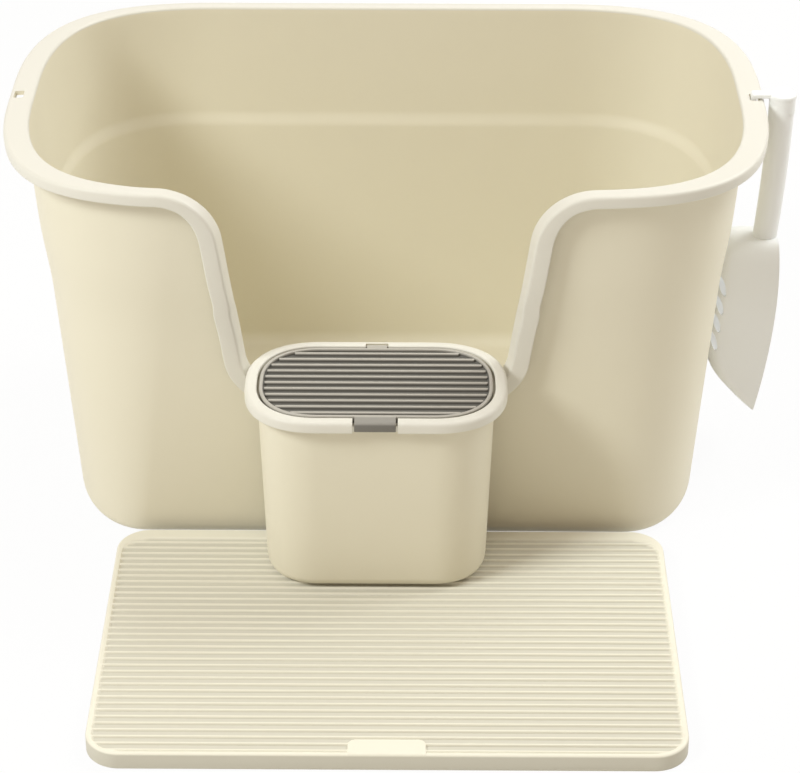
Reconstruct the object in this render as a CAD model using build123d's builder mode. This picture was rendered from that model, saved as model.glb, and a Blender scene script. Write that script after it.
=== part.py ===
import math
import os

from build123d import *

os.makedirs("parts", exist_ok=True)

# The origin is the centre of the tub's underside, on the floor. X runs to the right and -Y to
# the entry side. All sizes are in millimetres.

# Tub, outer sizes
rim_width = 620.0
rim_depth = 380.0
tub_height = 332.0
base_width = 523.0
base_depth = 322.0
tub_wall = 3.0
tub_floor = 3.0
base_rounding = 12.0
wall_step_height = 224.0
wall_step_rise = 9.0
wall_step_width = 2.5

# Plan corners: how far each corner reaches along the side and the front, and how full it is
rim_corner_width = 160.0
rim_corner_depth = 169.0
rim_corner_fullness = 0.72
base_corner_width = 63.0
base_corner_depth = 105.0
base_corner_fullness = 0.59

# Flange round the tub's edge
flange_side = 18.0
flange_front = 10.7
flange_thickness = 3.5
flange_lip = 10.0
flange_rounding = 2.0

# Entry cut-out in the front wall
sill_height = 150.0
entry_half_width = 100.3
entry_offset = -6.2
entry_slope = 0.1185
entry_corner_radius = 35.0
entry_shoulder_radius = 50.0
entry_flare = 0.288

# Slots in the side flanges for the scoop
slot_width = 8.0
slot_length = 13.0
slot_inset = 8.0
slot_position = -6.0

# Mat in front of the tub
mat_width = 448.6
mat_depth = 294.8
mat_thickness = 13.6
mat_back = -171.8
mat_offset = 4.7
mat_corner_radius = 27.0
mat_wall = 3.0
mat_top = 4.6
mat_border_side = 4.0
mat_border_back = 11.6
mat_border_front = 3.0
mat_first_rib = 16.9
mat_rib_count = 35
mat_rib_pitch = 7.956
mat_rib_width = 2.6
mat_groove_depth = 1.6
mat_edge_rounding = 1.6
mat_brace = 2.0
mat_brace_columns = 6
mat_brace_rows = 4
thumb_width = 58.0
thumb_depth = 18.6
thumb_rise = 0.5
thumb_radius = 6.0

# Bin that stands on the mat and reaches over the sill
bin_rim_width = 206.6
bin_rim_depth = 127.3
bin_height = 164.5
bin_wall = 2.5
bin_corner_radius = 58.0
bin_corner_fullness = 0.62
bin_flange_side = 9.6
bin_flange_front = 9.0
bin_flange_thickness = 2.5
bin_lip = 9.5
bin_neck_height = 8.3
bin_neck_wall = 2.1
bin_side_draft = 0.033
bin_front_draft = 0.021
bin_base_rounding = 10.0
bin_rim_rounding = 2.0
bin_heel_radius = 12.0
bin_overhang = 37.9
stand_gap = 0.2
sill_gap = 2.0
tray_gap = 4.0

# Lid of the bin
lid_ledge_depth = 6.3
lid_gap = 1.2
lid_rest_gap = 0.3
lid_plate = 2.5
lid_ring_width = 4.0
lid_ring_rise = 3.2
lid_rib_count = 11
lid_rib_pitch = 9.05
lid_rib_width = 2.6
lid_rib_rise = 2.6
lid_rib_stop = 2.5
lid_rounding = 0.8
tab_width = 32.0
tab_gap = 1.5
tab_thickness = 2.2
tab_drop = 7.0
tab_bend = 2.5
tab_inset = 0.6
knuckle_width = 20.0
knuckle_gap = 2.0
knuckle_radius = 1.6
pivot_radius = 1.0
pivot_length = 1.8
pivot_gap = 0.3
pivot_drop = 0.5

# Scoop that hangs from the right-hand slot
scoop_tongue_width = 10.0
scoop_tongue_thickness = 3.0
scoop_hook_drop = 12.0
scoop_hook_thickness = 4.0
scoop_hook_gap = 1.0
scoop_rest_gap = 0.3
scoop_handle_radius = 10.6
scoop_root_radius = 11.0
scoop_handle_stand = 14.8
scoop_handle_length = 127.0
scoop_handle_bow = 1.6
scoop_handle_lean = 6.8
scoop_root_depth = 2.0
scoop_cap_rise = 4.0
scoop_cap_radius = 11.6
scoop_channel_width = 12.0
scoop_head_length = 156.0
scoop_head_width = 66.0
scoop_edge_inset = 8.1
scoop_head_wall = 2.4
scoop_neck_width = 26.0
scoop_shoulder_height = 59.0
scoop_edge_bulge = 13.3
scoop_edge_peak = 0.85
scoop_belly_height = 67.0
scoop_lip = 1.5
scoop_shoulder_radius = 8.0
scoop_corner_radius = 12.0
scoop_least_flat = 0.5
scoop_wall_gap = 1.3
scoop_slot_count = 4
scoop_slot_pitch = 17.3
scoop_slot_height = 7.0
scoop_slot_reach = 10.0
scoop_step_count = 12


def plan_outline(height, half_width, half_depth, corner_width, corner_depth, fullness, centre=0.0):
    side = half_depth - corner_depth
    end = half_width - corner_width
    with BuildSketch(Plane((0, centre, height))) as plan:
        with BuildLine():
            for way_x, way_y in ((1, 1), (-1, 1), (-1, -1), (1, -1)):
                Bezier(
                    (way_x * half_width, way_y * side),
                    (way_x * half_width, way_y * (side + fullness * corner_depth)),
                    (way_x * (end + fullness * corner_width), way_y * half_depth),
                    (way_x * end, way_y * half_depth),
                )
            for way in (1, -1):
                Line((way * half_width, -side), (way * half_width, side))
                Line((-end, way * half_depth), (end, way * half_depth))
        make_face()
    return plan.sketch


# The tub's wall leans outwards at one angle below the step and goes on at that angle above it.
wall_top_half_width = rim_width / 2 - flange_side
wall_top_half_depth = rim_depth / 2 - flange_front
side_lean = (wall_top_half_width - wall_step_width - base_width / 2) / tub_height
front_lean = (wall_top_half_depth - wall_step_width - base_depth / 2) / tub_height


def tub_outline(height, grow_side, grow_front):
    share = height / tub_height
    step = wall_step_width * min(max((height - wall_step_height) / wall_step_rise, 0), 1)
    corner_width = base_corner_width + share * (rim_corner_width - flange_side - base_corner_width)
    corner_depth = base_corner_depth + share * (rim_corner_depth - flange_front - base_corner_depth)
    return plan_outline(
        height,
        base_width / 2 + side_lean * height + step + grow_side,
        base_depth / 2 + front_lean * height + step + grow_front,
        corner_width + grow_side,
        corner_depth + grow_front,
        base_corner_fullness + share * (rim_corner_fullness - base_corner_fullness),
    )


def tub_levels(bottom, top):
    step_top = wall_step_height + wall_step_rise
    return [bottom] + [level for level in (wall_step_height, step_top) if bottom < level] + [top]


def entry_outline(depth, drop):
    """Outline of the space above the tub's edge, seen from the front, lowered by one distance."""
    reach = base_depth / 2 + front_lean * sill_height - tub_wall
    out = drop + entry_flare * (depth - reach)
    level = tub_height - drop
    bottom = sill_height - out
    foot = entry_half_width + out * math.hypot(1, entry_slope) - entry_slope * out
    top_half = foot + entry_slope * (level - bottom)
    far = rim_width
    with BuildSketch(Plane((0, -depth, 0), x_dir=(1, 0, 0), z_dir=(0, -1, 0))) as view:
        with BuildLine():
            Polyline(
                (-far, level),
                (entry_offset - top_half, level),
                (entry_offset - foot, bottom),
                (entry_offset + foot, bottom),
                (entry_offset + top_half, level),
                (far, level),
                (far, level + tub_height),
                (-far, level + tub_height),
                close=True,
            )
        make_face()
        fillet(view.vertices().group_by(Axis.Y)[0], entry_corner_radius + out)
        edge_ends = view.vertices().filter_by(lambda v: abs(v.Y - level) < 0.01)
        fillet(edge_ends.sort_by(Axis.X)[1:3], entry_shoulder_radius - out)
    return view.sketch


def space_above(drop):
    """Everything above the tub's edge, lowered by one distance: the rim plane and the entry."""
    middle = base_depth / 4
    with BuildPart() as space:
        loft([entry_outline(depth, drop) for depth in (middle, rim_depth * 0.6)], ruled=True)
        with BuildSketch(Plane.XY.offset(tub_height - drop)):
            with Locations((0, rim_depth / 2 - middle / 2)):
                Rectangle(2 * rim_width, rim_depth + middle)
        extrude(amount=tub_height)
    return space.part


# One-piece tub: leaning wall with a shallow step, floor, entry cut-out and an outward flange.
# The flange's lip leans evenly past the step.
flange_levels = (sill_height / 2, tub_height)
entry_space = space_above(0)
with BuildPart() as flange_outside:
    loft([tub_outline(level, flange_side, flange_front) for level in flange_levels], ruled=True)
outer_faces = flange_outside.faces().filter_by(lambda f: abs(f.normal_at().Z) < 0.5)

with BuildPart() as lip_room:
    side = flange_side - tub_wall
    front = flange_front - tub_wall
    loft([tub_outline(level, side, front) for level in flange_levels], ruled=True)
    add(space_above(flange_thickness), mode=Mode.SUBTRACT)

with BuildPart() as tub_outside:
    loft([tub_outline(level, 0, 0) for level in tub_levels(0, tub_height)], ruled=True)
    fillet(tub_outside.edges().group_by(Axis.Z)[0], base_rounding)

with BuildPart() as tub_inside:
    levels = tub_levels(tub_floor, tub_height + flange_lip)
    loft([tub_outline(level, -tub_wall, -tub_wall) for level in levels], ruled=True)
    fillet(tub_inside.edges().group_by(Axis.Z)[0], base_rounding)


def on_fold(edge):
    """True for an edge where the flange's top turns down into its lip."""
    middle = Vertex(*tuple(edge @ 0.5))
    if min(middle.distance_to(face) for face in outer_faces) > 0.01:
        return False
    return middle.distance_to(entry_space) < 0.01


with BuildPart() as litter_tub:
    add(flange_outside.part)
    add(space_above(flange_lip), mode=Mode.INTERSECT)
    add(lip_room.part, mode=Mode.SUBTRACT)
    add(entry_space, mode=Mode.SUBTRACT)
    fillet(litter_tub.edges().filter_by(on_fold), flange_rounding)
    add(tub_outside.part)
    add(tub_inside.part, mode=Mode.SUBTRACT)
    add(entry_space, mode=Mode.SUBTRACT)
    with BuildSketch(Plane.XY.offset(tub_height)):
        for way in (1, -1):
            with Locations((way * (rim_width / 2 - slot_inset), slot_position)):
                Rectangle(slot_width, slot_length)
    extrude(amount=-2 * flange_thickness, mode=Mode.SUBTRACT)
litter_tub.part.label = "litter_tub"
export_step(litter_tub.part, "parts/litter_tub.step")
print("litter_tub", litter_tub.part.volume, litter_tub.part.is_valid, len(litter_tub.part.solids()))

# Mat: thin tray on a grid of braces, open underneath, with a ribbed top and a plain thumb pad at the front
mat_front = mat_back - mat_depth
mat_centre = (mat_back + mat_front) / 2
with BuildPart() as entry_mat:
    with BuildSketch(Plane((0, mat_centre, 0))):
        RectangleRounded(mat_width, mat_depth, mat_corner_radius)
    extrude(amount=mat_thickness)
    fillet(entry_mat.edges().group_by(Axis.Z)[-1], mat_edge_rounding)
    field_depth = mat_depth - mat_border_back - mat_border_front
    field_centre = mat_back - mat_border_back - field_depth / 2
    rib_middle = mat_back - mat_first_rib - (mat_rib_count - 1) / 2 * mat_rib_pitch
    with BuildSketch(Plane((0, field_centre, mat_thickness))):
        field_radius = mat_corner_radius - mat_border_side
        RectangleRounded(mat_width - 2 * mat_border_side, field_depth, field_radius)
        with Locations((0, rib_middle - field_centre)):
            with GridLocations(0, mat_rib_pitch, 1, mat_rib_count):
                Rectangle(mat_width, mat_rib_width, mode=Mode.SUBTRACT)
    extrude(amount=-mat_groove_depth, mode=Mode.SUBTRACT)
    with BuildSketch(Plane((0, mat_centre, 0))):
        RectangleRounded(mat_width - 2 * mat_wall, mat_depth - 2 * mat_wall, mat_corner_radius - mat_wall)
    extrude(amount=mat_thickness - mat_top, mode=Mode.SUBTRACT)
    cell_width = (mat_width - 2 * mat_wall) / (mat_brace_columns + 1)
    cell_depth = (mat_depth - 2 * mat_wall) / (mat_brace_rows + 1)
    with BuildSketch(Plane((0, mat_centre, 0))):
        with GridLocations(cell_width, 0, mat_brace_columns, 1):
            Rectangle(mat_brace, mat_depth - 2 * mat_wall)
        with GridLocations(0, cell_depth, 1, mat_brace_rows):
            Rectangle(mat_width - 2 * mat_wall, mat_brace)
    extrude(amount=mat_thickness - mat_top)
    with BuildSketch(Plane.XY.offset(mat_thickness - mat_groove_depth)) as pad:
        with Locations((0, mat_front + mat_edge_rounding)):
            Rectangle(thumb_width, thumb_depth - mat_edge_rounding, align=(Align.CENTER, Align.MIN))
        fillet(pad.vertices().group_by(Axis.Y)[-1], thumb_radius)
    extrude(amount=mat_groove_depth + thumb_rise)
# The mat lies loose, a little to the right of the tub's middle.
mat_solid = Pos(mat_offset, 0, 0) * entry_mat.part
mat_solid.label = "entry_mat"
export_step(mat_solid, "parts/entry_mat.step")
print("entry_mat", mat_solid.volume, mat_solid.is_valid, len(mat_solid.solids()))

# Bin: stands on the mat in front of the sill and reaches back over it with a shallow upper part
sill_front = base_depth / 2 + front_lean * sill_height + flange_front
bin_bottom = mat_thickness + stand_gap
bin_top = bin_bottom + bin_height
bin_heel = -sill_front - sill_gap
bin_back = bin_heel + bin_overhang
bin_centre = bin_back - bin_rim_depth / 2
tray_bottom = sill_height + tray_gap
ledge_height = bin_top - lid_ledge_depth


def bin_outline(height, inset_side, inset_front):
    return plan_outline(
        height,
        bin_rim_width / 2 - inset_side,
        bin_rim_depth / 2 - inset_front,
        bin_corner_radius - inset_side,
        bin_corner_radius - inset_front,
        bin_corner_fullness,
        bin_centre,
    )


def bin_shell(inset, bottom):
    """Drafted body of the bin, drawn in by one distance, before the heel is cut away."""
    ends = []
    for level in (bottom, bin_top):
        side = bin_flange_side + inset + bin_side_draft * (bin_top - level)
        front = bin_flange_front + inset + bin_front_draft * (bin_top - level)
        ends.append(bin_outline(level, side, front))
    return loft(ends, ruled=True)


def bin_block(inset):
    """Body of the bin with its back cut away below the sill, and its corners rounded."""
    with BuildPart() as block:
        bin_shell(inset, bin_bottom + inset)
        with BuildSketch(Plane.XY.offset(tray_bottom + inset)):
            with Locations((0, bin_heel - inset)):
                Rectangle(2 * bin_rim_width, bin_rim_depth, align=(Align.CENTER, Align.MIN))
        extrude(amount=-2 * bin_height, mode=Mode.SUBTRACT)
        heel = block.faces().filter_by(Axis.Y).sort_by(Axis.Z)[0]
        upright = heel.edges().filter_by(lambda e: abs((e % 0.5).Z) > 0.9)
        fillet(upright, bin_heel_radius - inset)
        fillet(block.edges().group_by(Axis.Z)[0], bin_base_rounding - inset)
    return block.part


pivot_y = bin_back - bin_flange_front + knuckle_gap
pivot_z = bin_top - knuckle_radius - pivot_drop
socket_reach = knuckle_width / 2 + knuckle_gap + pivot_length + pivot_gap
with BuildPart() as step_bin:
    loft([bin_outline(level, 0, 0) for level in (bin_top - bin_lip, bin_top)], ruled=True)
    fillet(step_bin.edges().group_by(Axis.Z)[-1], bin_rim_rounding)
    room = (bin_top - bin_lip, bin_top - bin_flange_thickness)
    loft([bin_outline(level, bin_wall, bin_wall) for level in room], ruled=True, mode=Mode.SUBTRACT)
    add(bin_block(0))
    neck_side = bin_flange_side - bin_neck_wall
    neck_front = bin_flange_front - bin_neck_wall
    neck = (bin_top - bin_neck_height, bin_top - bin_flange_thickness)
    loft([bin_outline(level, neck_side, neck_front) for level in neck], ruled=True)
    with BuildSketch(Plane.XY.offset(neck[1])):
        with Locations((0, bin_back - bin_flange_front)):
            block_size = (2 * (socket_reach + bin_neck_wall), bin_flange_front - bin_wall / 2)
            Rectangle(*block_size, align=(Align.CENTER, Align.MIN))
    extrude(amount=neck[0] - neck[1])
    add(bin_block(bin_wall), mode=Mode.SUBTRACT)
    recess = (ledge_height, bin_top + bin_lip)
    loft(
        [bin_outline(level, bin_flange_side, bin_flange_front) for level in recess],
        ruled=True,
        mode=Mode.SUBTRACT,
    )
    with BuildSketch(Plane.XY.offset(bin_top)):
        with Locations((0, bin_back - bin_flange_front)):
            Rectangle(knuckle_width + 2 * knuckle_gap, 2 * (2 * knuckle_gap + knuckle_radius))
        with Locations((0, bin_back - bin_rim_depth)):
            Rectangle(tab_width + 2 * tab_gap, 2 * (bin_flange_front + lid_gap))
    extrude(amount=-lid_ledge_depth, mode=Mode.SUBTRACT)
    with BuildSketch(Plane.XY.offset(bin_top)):
        with Locations((0, bin_back - bin_rim_depth)):
            Rectangle(tab_width + 2 * tab_gap, 2 * neck_front)
    extrude(amount=-2 * bin_lip, mode=Mode.SUBTRACT)
    with BuildSketch(Plane.YZ):
        with Locations((pivot_y, pivot_z)):
            Circle(pivot_radius + pivot_gap)
    extrude(amount=socket_reach, both=True, mode=Mode.SUBTRACT)
# Bin and lid stand in the middle of the entry.
bin_solid = Pos(entry_offset, 0, 0) * step_bin.part
bin_solid.label = "step_bin"
export_step(bin_solid, "parts/step_bin.step")
print("step_bin", bin_solid.volume, bin_solid.is_valid, len(bin_solid.solids()))

# Lid: ribbed plate with a raised ring, a rolled front tab and a knuckle at the back
lid_bottom = ledge_height + lid_rest_gap
plate_top = lid_bottom + lid_plate
ring_top = plate_top + lid_ring_rise
lid_front = bin_back - bin_rim_depth


def lid_outline(level, inset):
    return bin_outline(level, bin_flange_side + lid_gap + inset, bin_flange_front + lid_gap + inset)


def rib_half_length(offset):
    """Half the length of a rib that stops short of the ring, for its distance from the centre."""
    stop = lid_gap + lid_ring_width + lid_rib_stop
    half_width = bin_rim_width / 2 - bin_flange_side - stop
    half_depth = bin_rim_depth / 2 - bin_flange_front - stop
    bend = bin_corner_radius - bin_flange_side - stop
    past = max(abs(offset) + lid_rib_width / 2 - (half_depth - bend), 0)
    return half_width - bend + math.sqrt(max(bend**2 - past**2, 0))


with BuildPart() as bin_lid:
    loft([lid_outline(level, 0) for level in (lid_bottom, ring_top)], ruled=True)
    fillet(bin_lid.edges().group_by(Axis.Z)[-1], lid_rounding)
    inner = (plate_top, ring_top + lid_plate)
    loft([lid_outline(level, lid_ring_width) for level in inner], ruled=True, mode=Mode.SUBTRACT)
    for number in range(lid_rib_count):
        offset_y = (number - (lid_rib_count - 1) / 2) * lid_rib_pitch
        with BuildSketch(Plane((0, bin_centre + offset_y, plate_top))):
            SlotOverall(2 * rib_half_length(offset_y), lid_rib_width)
        extrude(amount=lid_rib_rise)
    with BuildSketch(Plane.YZ):
        with BuildLine():
            level = ring_top - tab_thickness / 2
            start = lid_front + bin_flange_front + lid_gap + lid_ring_width / 2
            end = lid_front + tab_thickness / 2 + tab_inset
            FilletPolyline((start, level), (end, level), (end, level - tab_drop), radius=tab_bend)
        trace(line_width=tab_thickness)
    extrude(amount=tab_width / 2, both=True)
    with BuildSketch(Plane.YZ):
        with Locations((pivot_y, pivot_z)):
            Circle(knuckle_radius)
            reach = knuckle_gap + lid_gap + lid_ring_width / 2
            Rectangle(reach, 2 * knuckle_radius, align=(Align.MAX, Align.CENTER))
    extrude(amount=knuckle_width / 2, both=True)
    with BuildSketch(Plane.YZ):
        with Locations((pivot_y, pivot_z)):
            Circle(pivot_radius)
    extrude(amount=knuckle_width / 2 + knuckle_gap + pivot_length, both=True)
lid_solid = Pos(entry_offset, 0, 0) * bin_lid.part
lid_solid.label = "bin_lid"
export_step(lid_solid, "parts/bin_lid.step")
print("bin_lid", lid_solid.volume, lid_solid.is_valid, len(lid_solid.solids()))

# Scoop: tongue and hook in the side slot, tapering handle, and a deep head beside the wall
scoop_line = rim_width / 2 + scoop_handle_stand
hook_start = rim_width / 2 - slot_inset - slot_width / 2 + scoop_hook_gap
handle_bottom = tub_height - scoop_handle_length
scoop_head_depth = scoop_line - scoop_edge_inset - base_width / 2
head_top = handle_bottom + scoop_root_depth
head_bottom = head_top - scoop_head_length
scoop_belly = head_bottom + scoop_belly_height


def rise(share):
    """Height of a quarter circle of radius one above its end, for a share from 0 to 1."""
    return 1 - math.sqrt(1 - min(max(share, 0), 1) ** 2)


def head_section(level, inset):
    """The head cut level: a floor beside the tub wall with rounded corners, open the other way."""
    below = max(scoop_belly - level, 0) / scoop_belly_height
    slope = 2 * below * (scoop_head_depth - scoop_lip) / scoop_belly_height
    beside = base_width / 2 + side_lean * level + scoop_wall_gap
    tip = base_width / 2 + scoop_head_depth - scoop_lip
    floor = beside + below**2 * (tip - beside) + inset * math.hypot(1, slope)
    floor += scoop_shoulder_radius * rise((level - head_top) / scoop_shoulder_radius + 1)
    peak = head_bottom + scoop_head_length * scoop_edge_peak
    away = (level - peak) / (peak - head_bottom)
    edge = base_width / 2 + scoop_head_depth + scoop_edge_bulge * (1 - away**2) + 2 * inset
    shoulder = head_top - scoop_shoulder_height
    swell = (scoop_head_width - scoop_neck_width) / 2
    half = scoop_head_width / 2 - swell * rise((level - shoulder) / (head_top - shoulder)) - inset
    bend = min(scoop_corner_radius - inset, 0.45 * (edge - floor), half - scoop_least_flat)
    with BuildSketch(Plane((0, slot_position, level))) as cut:
        with BuildLine():
            Polyline((floor + bend, half), (edge, half), (edge, -half), (floor + bend, -half))
            Line((floor, half - bend), (floor, bend - half))
            for way in (1, -1):
                RadiusArc((floor, way * (half - bend)), (floor + bend, way * half), way * bend)
        make_face()
    return cut.sketch


def head_block(inset):
    height = scoop_head_length - inset
    steps = [number / scoop_step_count for number in range(scoop_step_count + 1)]
    levels = [head_bottom + height * math.sin(math.pi / 2 * step) for step in steps]
    return loft([head_section(level, inset) for level in levels])


with BuildPart() as scoop_handle:
    handle_line = (
        (tub_height + scoop_cap_rise / 2, 0, scoop_handle_radius),
        (tub_height - scoop_handle_length / 2, scoop_handle_bow, scoop_handle_radius),
        (handle_bottom, scoop_handle_lean, scoop_root_radius),
    )
    for level, inward, radius in handle_line:
        with BuildSketch(Plane((scoop_line - inward, slot_position, level))):
            Circle(radius)
    loft(ruled=True)
    with BuildSketch(Plane((scoop_line, slot_position, tub_height - scoop_handle_radius))):
        with Locations((0, scoop_handle_radius)):
            Rectangle(scoop_channel_width, scoop_channel_width)
    extrude(amount=2 * scoop_handle_radius - scoop_handle_length, mode=Mode.SUBTRACT)
    with BuildSketch(Plane((scoop_line, slot_position, tub_height))):
        Circle(scoop_cap_radius)
    extrude(amount=scoop_cap_rise)
    fillet(scoop_handle.edges().group_by(Axis.Z)[-1], scoop_cap_rise / 2)
    with BuildSketch(Plane((hook_start, slot_position, tub_height + scoop_rest_gap))):
        Rectangle(scoop_line - hook_start, scoop_tongue_width, align=(Align.MIN, Align.CENTER))
    extrude(amount=scoop_tongue_thickness)
    with BuildSketch(Plane((hook_start, slot_position, tub_height + scoop_rest_gap))):
        Rectangle(scoop_hook_thickness, scoop_tongue_width, align=(Align.MIN, Align.CENTER))
    extrude(amount=-scoop_hook_drop)

with BuildPart() as litter_scoop:
    head_block(0)
    add(head_block(scoop_head_wall), mode=Mode.SUBTRACT)
    for number in range(scoop_slot_count):
        level = scoop_belly + number * scoop_slot_pitch
        beside = base_width / 2 + side_lean * level + scoop_wall_gap
        with BuildSketch(Plane((beside, slot_position, level), x_dir=(1, 0, 0), z_dir=(0, -1, 0))):
            SlotOverall(2 * scoop_slot_reach, scoop_slot_height)
        extrude(amount=scoop_head_width, both=True, mode=Mode.SUBTRACT)
    add(scoop_handle.part)
litter_scoop.part.label = "litter_scoop"
export_step(litter_scoop.part, "parts/litter_scoop.step")
print("litter_scoop", litter_scoop.part.volume, litter_scoop.part.is_valid, len(litter_scoop.part.solids()))
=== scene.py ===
# %% [markdown]
# # An open litter tub with a step bin, a ribbed mat and a hanging scoop
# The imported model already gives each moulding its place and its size, and it works in the hand:
# the mat slides, the bin lifts out, its lid tips up and the scoop comes off its slot. What it
# lacks is the softness of moulded plastic. Each piece here gets a skin with rounded edges, drawn
# from the same sizes, and a finish of its own.

# %% Load the fixed frame
import math

import bmesh
import bpy
import numpy as np
from mathutils import Matrix, Vector


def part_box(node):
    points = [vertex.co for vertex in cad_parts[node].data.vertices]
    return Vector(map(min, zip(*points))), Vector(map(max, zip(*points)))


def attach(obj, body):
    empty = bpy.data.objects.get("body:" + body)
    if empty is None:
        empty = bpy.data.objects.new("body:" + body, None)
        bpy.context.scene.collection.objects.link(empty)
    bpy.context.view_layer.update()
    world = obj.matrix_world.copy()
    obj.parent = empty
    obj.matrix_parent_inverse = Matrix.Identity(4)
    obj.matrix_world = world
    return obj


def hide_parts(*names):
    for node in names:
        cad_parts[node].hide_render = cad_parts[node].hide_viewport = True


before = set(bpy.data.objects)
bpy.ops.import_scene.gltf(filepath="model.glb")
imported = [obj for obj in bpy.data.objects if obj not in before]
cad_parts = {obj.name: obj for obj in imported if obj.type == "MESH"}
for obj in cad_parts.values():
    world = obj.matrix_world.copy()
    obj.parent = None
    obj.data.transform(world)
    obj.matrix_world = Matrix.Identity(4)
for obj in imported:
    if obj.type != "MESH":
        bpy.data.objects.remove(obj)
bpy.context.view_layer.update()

print("nodes:", ", ".join(sorted(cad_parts)))

# %% [markdown]
# ## Skins made from rings
# A tub, a bin or a handle could be built by bending a cube, by joining solids, or by stacking
# closed rings of points and laying faces between them. Rings suit moulded shells best: one ring
# is one level of the mould, rounded edges are rings set close together, and the shading stays
# smooth because neighbouring faces share their points. All sizes are in millimetres until a
# mesh is made.

# %% Turn points and faces into a piece
MM = 0.001
SHARP_FOLD = math.radians(38)


def smooth_shading(mesh):
    mesh.shade_smooth()
    mesh.set_sharp_from_angle(angle=SHARP_FOLD)


def place_in_scene(name, data):
    """Shows a mesh, a lamp or a camera as an object of the scene."""
    made = bpy.data.objects.new(name, data)
    bpy.context.scene.collection.objects.link(made)
    return made


def skin(name, points, faces):
    """A piece from points in millimetres, with its faces turned outwards."""
    mesh = bpy.data.meshes.new(name)
    mesh.from_pydata((np.asarray(points, float) * MM).tolist(), [], faces)
    sheet = bmesh.new()
    sheet.from_mesh(mesh)
    bmesh.ops.recalc_face_normals(sheet, faces=sheet.faces)
    sheet.to_mesh(mesh)
    sheet.free()
    smooth_shading(mesh)
    return place_in_scene(name, mesh)


def stack(name, rings, edge=(0, 0)):
    """A closed skin through rings of equal length, with a fan of faces over each end.

    Faces from the first to the last ring of the edge get the piece's second finish: a paler copy of
    its colour that paints the sheen of light on a flange's edge.
    """
    rings = np.asarray(rings, float)
    levels, count = rings.shape[:2]
    points = [*rings.reshape(-1, 3), rings[0].mean(0), rings[-1].mean(0)]
    faces = []
    for here in range(count):
        after = (here + 1) % count
        for level in range(levels - 1):
            low, high = level * count, (level + 1) * count
            faces.append((low + here, low + after, high + after, high + here))
        last = (levels - 1) * count
        faces.append((after, here, levels * count))
        faces.append((last + here, last + after, levels * count + 1))
    piece = skin(name, points, faces)
    finish_of_level = [int(edge[0] <= level < edge[1]) for level in range(levels - 1)] + [0, 0]
    piece.data.polygons.foreach_set("material_index", finish_of_level * count)
    return piece


# %% Cut and join pieces
def settle(piece):
    """Turns the piece's modifiers into its own mesh."""
    bpy.context.view_layer.update()
    seen = piece.evaluated_get(bpy.context.evaluated_depsgraph_get())
    mesh = bpy.data.meshes.new_from_object(seen)
    piece.modifiers.clear()
    piece.data = mesh
    smooth_shading(mesh)
    return piece


def combine(piece, other, operation):
    """Cuts the other shape out of a piece, or joins it on; the other shape is used up."""
    modifier = piece.modifiers.new("combine", "BOOLEAN")
    modifier.operation = operation
    modifier.solver = "EXACT"
    modifier.object = other
    settle(piece)
    bpy.data.objects.remove(other)
    return piece


def gather(name, pieces):
    """Puts separate closed shapes into one mesh."""
    together = bmesh.new()
    for piece in pieces:
        together.from_mesh(piece.data)
        bpy.data.objects.remove(piece)
    mesh = bpy.data.meshes.new(name)
    together.to_mesh(mesh)
    together.free()
    return place_in_scene(name, mesh)


def soften(piece, width, segments=3, angle=40):
    """Rounds the piece's sharp edges."""
    modifier = piece.modifiers.new("soften", "BEVEL")
    modifier.width = width * MM
    modifier.segments = segments
    modifier.angle_limit = math.radians(angle)
    return settle(piece)


def bar(name, outlines, places, axis="x"):
    """A bar through one outline after another, each at its place along one axis."""
    order = {"x": (2, 0, 1), "y": (0, 2, 1), "z": (0, 1, 2)}[axis]
    rings = [[(a, b, place) for a, b in outline] for outline, place in zip(outlines, places)]
    points = np.asarray(rings, float).reshape(-1, 3)[:, order]
    count, last = len(outlines[0]), len(places) - 1
    faces = [tuple(range(count)), tuple(range(last * count, (last + 1) * count))]
    for level in range(last):
        low, high = level * count, (level + 1) * count
        for here in range(count):
            after = (here + 1) % count
            faces.append((low + here, low + after, high + after, high + here))
    return skin(name, points, faces)


def prism(name, outline, start, end, axis="x"):
    """A straight bar with this outline, from start to end along one axis."""
    return bar(name, (outline, outline), (start, end), axis)


# %% Round the corners of a line
def unit(step):
    return step / np.maximum(np.linalg.norm(step, axis=-1, keepdims=True), 1e-9)


def softened(corners, reaches, steps=4):
    """A bent line whose inner corners are rounded, each from a given distance before it."""
    corners = [np.asarray(corner, float) for corner in corners]
    line = [corners[0]]
    for before, corner, after, reach in zip(corners, corners[1:], corners[2:], reaches):
        start = corner + reach * unit(before - corner)
        finish = corner + reach * unit(after - corner)
        for share in np.linspace(0, 1, steps + 1):
            bend = 2 * share * (1 - share) * corner
            line.append((1 - share) ** 2 * start + bend + share**2 * finish)
    return line + [corners[-1]]


def run(first, last, count):
    """Points of a straight or turning run, without the last one."""
    return np.linspace(first, last, count, endpoint=False)


def quarter(count):
    """Angles from nothing to a right angle."""
    return np.linspace(0, math.pi / 2, count)


def ease(share):
    """A smooth rise from 0 to 1."""
    share = np.clip(share, 0, 1)
    return share * share * (3 - 2 * share)


def between(ends, share):
    """A value that goes from the first end to the second as the share goes from 0 to 1."""
    return ends[0] + share * (ends[1] - ends[0])


# %% Set a piece at its own middle
def middle_of(node):
    low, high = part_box(node)
    return (low.x + high.x) / 2 / MM


def set_sideways(piece, node):
    """Moves a piece that was drawn round x = 0 to the middle of its node."""
    piece.data.transform(Matrix.Translation((middle_of(node) * MM, 0, 0)))


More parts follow.
